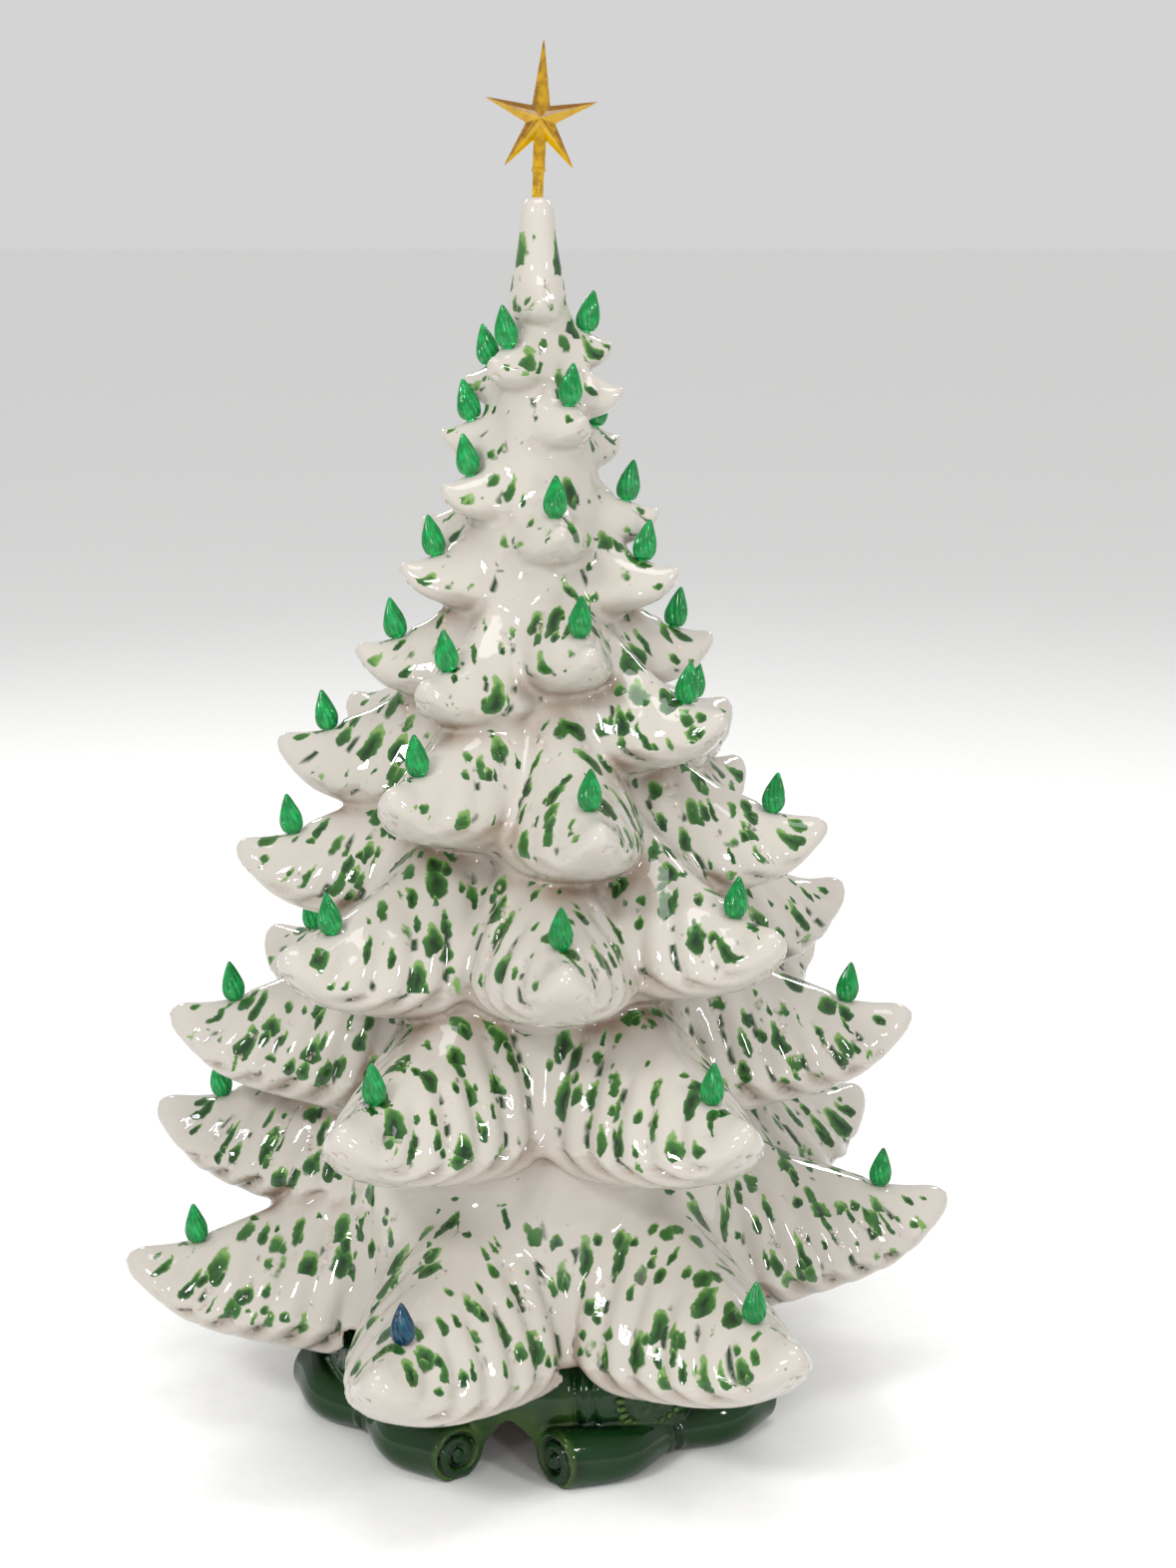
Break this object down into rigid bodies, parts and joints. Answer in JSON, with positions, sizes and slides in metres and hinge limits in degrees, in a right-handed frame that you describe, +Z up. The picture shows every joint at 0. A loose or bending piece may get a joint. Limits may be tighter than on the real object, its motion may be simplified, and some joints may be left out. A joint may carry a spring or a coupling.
{
  "type": "ceramic christmas tree",
  "caption": "Hollow glazed ceramic christmas tree with drooping branches, plug-in lights, a star and an inner lamp, lifted off a scroll-footed base.",
  "frame": {"origin": "on the table, under the middle of the base", "axes": "+Z up along the trunk, the front faces -Y"},
  "size_m": [0.3642, 0.3439, 0.5894],
  "materials": {
    "white_glaze": "glossy white glaze with green daubs",
    "green_glaze": "glossy dark green glaze",
    "amber_plastic": "clear amber",
    "green_plastic": "clear emerald green",
    "blue_plastic": "clear blue",
    "black_rubber": "matt",
    "zinc_steel": "zinc plated",
    "dark_plastic": "moulded",
    "brass": "bare",
    "solder": "dull",
    "frosted_glass": "frosted"
  },
  "bodies": {
    "base": {"base_shell": "green_glaze", "cord_grommet": "black_rubber", "lamp_nipple": "zinc_steel", "nipple_washer": "zinc_steel", "nipple_nut": "zinc_steel", "lamp_holder": "dark_plastic", "holder_shell": "brass", "holder_contact": "brass"},
    "tree": {"tree_shell": "white_glaze"},
    "star": {"star_topper": "amber_plastic"},
    "lamp": {"lamp_glass": "frosted_glass", "lamp_cap": "brass", "lamp_contact": "solder"},
    "light_a1": {"light_a1": "green_plastic"},
    "light_a2": {"light_a2": "blue_plastic"},
    "light_a3": {"light_a3": "green_plastic"},
    "light_a4": {"light_a4": "green_plastic"},
    "light_a5": {"light_a5": "green_plastic"},
    "light_a6": {"light_a6": "green_plastic"},
    "light_b1": {"light_b1": "green_plastic"},
    "light_b2": {"light_b2": "green_plastic"},
    "light_c1": {"light_c1": "green_plastic"},
    "light_c2": {"light_c2": "green_plastic"},
    "light_c3": {"light_c3": "green_plastic"},
    "light_c4": {"light_c4": "green_plastic"},
    "light_c5": {"light_c5": "green_plastic"},
    "light_c6": {"light_c6": "green_plastic"},
    "light_c7": {"light_c7": "green_plastic"},
    "light_d1": {"light_d1": "green_plastic"},
    "light_d2": {"light_d2": "green_plastic"},
    "light_d3": {"light_d3": "green_plastic"},
    "light_d5": {"light_d5": "green_plastic"},
    "light_e1": {"light_e1": "green_plastic"},
    "light_e2": {"light_e2": "green_plastic"},
    "light_f1": {"light_f1": "green_plastic"},
    "light_f2": {"light_f2": "green_plastic"},
    "light_f3": {"light_f3": "green_plastic"},
    "light_f4": {"light_f4": "green_plastic"},
    "light_f5": {"light_f5": "green_plastic"},
    "light_f7": {"light_f7": "green_plastic"},
    "light_g1": {"light_g1": "green_plastic"},
    "light_g2": {"light_g2": "green_plastic"},
    "light_g3": {"light_g3": "green_plastic"},
    "light_g4": {"light_g4": "green_plastic"},
    "light_g5": {"light_g5": "green_plastic"},
    "light_g6": {"light_g6": "green_plastic"},
    "light_h1": {"light_h1": "green_plastic"},
    "light_h2": {"light_h2": "green_plastic"},
    "light_h3": {"light_h3": "green_plastic"},
    "light_h4": {"light_h4": "green_plastic"},
    "light_i1": {"light_i1": "green_plastic"},
    "light_i2": {"light_i2": "green_plastic"},
    "light_i4": {"light_i4": "green_plastic"},
    "light_j1": {"light_j1": "green_plastic"},
    "light_j2": {"light_j2": "green_plastic"},
    "light_j3": {"light_j3": "green_plastic"},
    "light_k1": {"light_k1": "green_plastic"},
    "light_k2": {"light_k2": "green_plastic"},
    "light_k4": {"light_k4": "green_plastic"},
    "light_l1": {"light_l1": "green_plastic"}
  },
  "joints": [
    {"name": "tree_lift", "type": "slide", "parent": "base", "child": "tree", "axis": [0, 0, 1], "range_m": [0, 0.1]},
    {"name": "star_pull", "type": "slide", "parent": "tree", "child": "star", "axis": [0.0454, 0, 0.999], "range_m": [0, 0.018]},
    {"name": "lamp_turn", "type": "hinge", "parent": "base", "child": "lamp", "pos_m": [0, 0, 0.07], "axis": [0, 0, 1], "continuous": true},
    {"name": "light_a1_pull", "type": "slide", "parent": "tree", "child": "light_a1", "axis": [-0.0924, -0.018, 0.9956], "range_m": [0, 0.009]},
    {"name": "light_a2_pull", "type": "slide", "parent": "tree", "child": "light_a2", "axis": [-0.0325, -0.0894, 0.9955], "range_m": [0, 0.009]},
    {"name": "light_a3_pull", "type": "slide", "parent": "tree", "child": "light_a3", "axis": [0.0547, -0.0782, 0.9954], "range_m": [0, 0.009]},
    {"name": "light_a4_pull", "type": "slide", "parent": "tree", "child": "light_a4", "axis": [0.0975, 0.0068, 0.9952], "range_m": [0, 0.009]},
    {"name": "light_a5_pull", "type": "slide", "parent": "tree", "child": "light_a5", "axis": [0.0405, 0.0868, 0.9954], "range_m": [0, 0.009]},
    {"name": "light_a6_pull", "type": "slide", "parent": "tree", "child": "light_a6", "axis": [-0.0634, 0.0704, 0.9955], "range_m": [0, 0.009]},
    {"name": "light_b1_pull", "type": "slide", "parent": "tree", "child": "light_b1", "axis": [-0.1102, 0.0135, 0.9938], "range_m": [0, 0.009]},
    {"name": "light_b2_pull", "type": "slide", "parent": "tree", "child": "light_b2", "axis": [0.0891, 0.0557, 0.9945], "range_m": [0, 0.009]},
    {"name": "light_c1_pull", "type": "slide", "parent": "tree", "child": "light_c1", "axis": [-0.128, -0.0067, 0.9918], "range_m": [0, 0.009]},
    {"name": "light_c2_pull", "type": "slide", "parent": "tree", "child": "light_c2", "axis": [-0.0588, -0.1106, 0.9921], "range_m": [0, 0.009]},
    {"name": "light_c3_pull", "type": "slide", "parent": "tree", "child": "light_c3", "axis": [0.0643, -0.107, 0.9922], "range_m": [0, 0.009]},
    {"name": "light_c4_pull", "type": "slide", "parent": "tree", "child": "light_c4", "axis": [0.1278, -0.0045, 0.9918], "range_m": [0, 0.009]},
    {"name": "light_c5_pull", "type": "slide", "parent": "tree", "child": "light_c5", "axis": [0.105, 0.0791, 0.9913], "range_m": [0, 0.009]},
    {"name": "light_c6_pull", "type": "slide", "parent": "tree", "child": "light_c6", "axis": [-0.1077, 0.0754, 0.9913], "range_m": [0, 0.009]},
    {"name": "light_c7_pull", "type": "slide", "parent": "tree", "child": "light_c7", "axis": [0.0089, 0.1272, 0.9918], "range_m": [0, 0.009]},
    {"name": "light_d1_pull", "type": "slide", "parent": "tree", "child": "light_d1", "axis": [-0.1025, -0.1025, 0.9894], "range_m": [0, 0.009]},
    {"name": "light_d2_pull", "type": "slide", "parent": "tree", "child": "light_d2", "axis": [0.0127, -0.1454, 0.9893], "range_m": [0, 0.009]},
    {"name": "light_d3_pull", "type": "slide", "parent": "tree", "child": "light_d3", "axis": [0.1023, -0.106, 0.9891], "range_m": [0, 0.009]},
    {"name": "light_d5_pull", "type": "slide", "parent": "tree", "child": "light_d5", "axis": [0.0302, 0.1421, 0.9894], "range_m": [0, 0.009]},
    {"name": "light_e1_pull", "type": "slide", "parent": "tree", "child": "light_e1", "axis": [-0.1521, -0.0214, 0.9881], "range_m": [0, 0.009]},
    {"name": "light_e2_pull", "type": "slide", "parent": "tree", "child": "light_e2", "axis": [0.1545, -0.0272, 0.9876], "range_m": [0, 0.009]},
    {"name": "light_f1_pull", "type": "slide", "parent": "tree", "child": "light_f1", "axis": [-0.1672, 0.0058, 0.9859], "range_m": [0, 0.009]},
    {"name": "light_f2_pull", "type": "slide", "parent": "tree", "child": "light_f2", "axis": [-0.0857, -0.1426, 0.9861], "range_m": [0, 0.009]},
    {"name": "light_f3_pull", "type": "slide", "parent": "tree", "child": "light_f3", "axis": [0.0366, -0.1586, 0.9867], "range_m": [0, 0.009]},
    {"name": "light_f4_pull", "type": "slide", "parent": "tree", "child": "light_f4", "axis": [0.1391, -0.1049, 0.9847], "range_m": [0, 0.009]},
    {"name": "light_f5_pull", "type": "slide", "parent": "tree", "child": "light_f5", "axis": [0.1292, 0.1084, 0.9857], "range_m": [0, 0.009]},
    {"name": "light_f7_pull", "type": "slide", "parent": "tree", "child": "light_f7", "axis": [0.0235, 0.1673, 0.9856], "range_m": [0, 0.009]},
    {"name": "light_g1_pull", "type": "slide", "parent": "tree", "child": "light_g1", "axis": [-0.1801, -0.0189, 0.9835], "range_m": [0, 0.009]},
    {"name": "light_g2_pull", "type": "slide", "parent": "tree", "child": "light_g2", "axis": [-0.1002, -0.1485, 0.9838], "range_m": [0, 0.009]},
    {"name": "light_g3_pull", "type": "slide", "parent": "tree", "child": "light_g3", "axis": [0.0568, -0.1747, 0.983], "range_m": [0, 0.009]},
    {"name": "light_g4_pull", "type": "slide", "parent": "tree", "child": "light_g4", "axis": [0.1784, 0.0347, 0.9833], "range_m": [0, 0.009]},
    {"name": "light_g5_pull", "type": "slide", "parent": "tree", "child": "light_g5", "axis": [0.0902, 0.1563, 0.9836], "range_m": [0, 0.009]},
    {"name": "light_g6_pull", "type": "slide", "parent": "tree", "child": "light_g6", "axis": [-0.1125, 0.144, 0.9832], "range_m": [0, 0.009]},
    {"name": "light_h1_pull", "type": "slide", "parent": "tree", "child": "light_h1", "axis": [-0.1854, -0.0532, 0.9812], "range_m": [0, 0.009]},
    {"name": "light_h2_pull", "type": "slide", "parent": "tree", "child": "light_h2", "axis": [0.1848, -0.053, 0.9814], "range_m": [0, 0.009]},
    {"name": "light_h3_pull", "type": "slide", "parent": "tree", "child": "light_h3", "axis": [0.038, -0.1954, 0.98], "range_m": [0, 0.009]},
    {"name": "light_h4_pull", "type": "slide", "parent": "tree", "child": "light_h4", "axis": [0.0665, 0.1828, 0.9809], "range_m": [0, 0.009]},
    {"name": "light_i1_pull", "type": "slide", "parent": "tree", "child": "light_i1", "axis": [-0.173, -0.1081, 0.979], "range_m": [0, 0.009]},
    {"name": "light_i2_pull", "type": "slide", "parent": "tree", "child": "light_i2", "axis": [0.1978, 0.0278, 0.9799], "range_m": [0, 0.009]},
    {"name": "light_i4_pull", "type": "slide", "parent": "tree", "child": "light_i4", "axis": [-0.0422, 0.1986, 0.9792], "range_m": [0, 0.009]},
    {"name": "light_j1_pull", "type": "slide", "parent": "tree", "child": "light_j1", "axis": [-0.2108, 0, 0.9775], "range_m": [0, 0.009]},
    {"name": "light_j2_pull", "type": "slide", "parent": "tree", "child": "light_j2", "axis": [0.1067, -0.1848, 0.977], "range_m": [0, 0.009]},
    {"name": "light_j3_pull", "type": "slide", "parent": "tree", "child": "light_j3", "axis": [0.1695, 0.1231, 0.9778], "range_m": [0, 0.009]},
    {"name": "light_k1_pull", "type": "slide", "parent": "tree", "child": "light_k1", "axis": [-0.1906, 0.1057, 0.976], "range_m": [0, 0.009]},
    {"name": "light_k2_pull", "type": "slide", "parent": "tree", "child": "light_k2", "axis": [-0.1235, -0.1831, 0.9753], "range_m": [0, 0.009]},
    {"name": "light_k4_pull", "type": "slide", "parent": "tree", "child": "light_k4", "axis": [0.0566, 0.2112, 0.9758], "range_m": [0, 0.009]},
    {"name": "light_l1_pull", "type": "slide", "parent": "tree", "child": "light_l1", "axis": [0.2128, 0.0651, 0.9749], "range_m": [0, 0.009]}
  ]
}
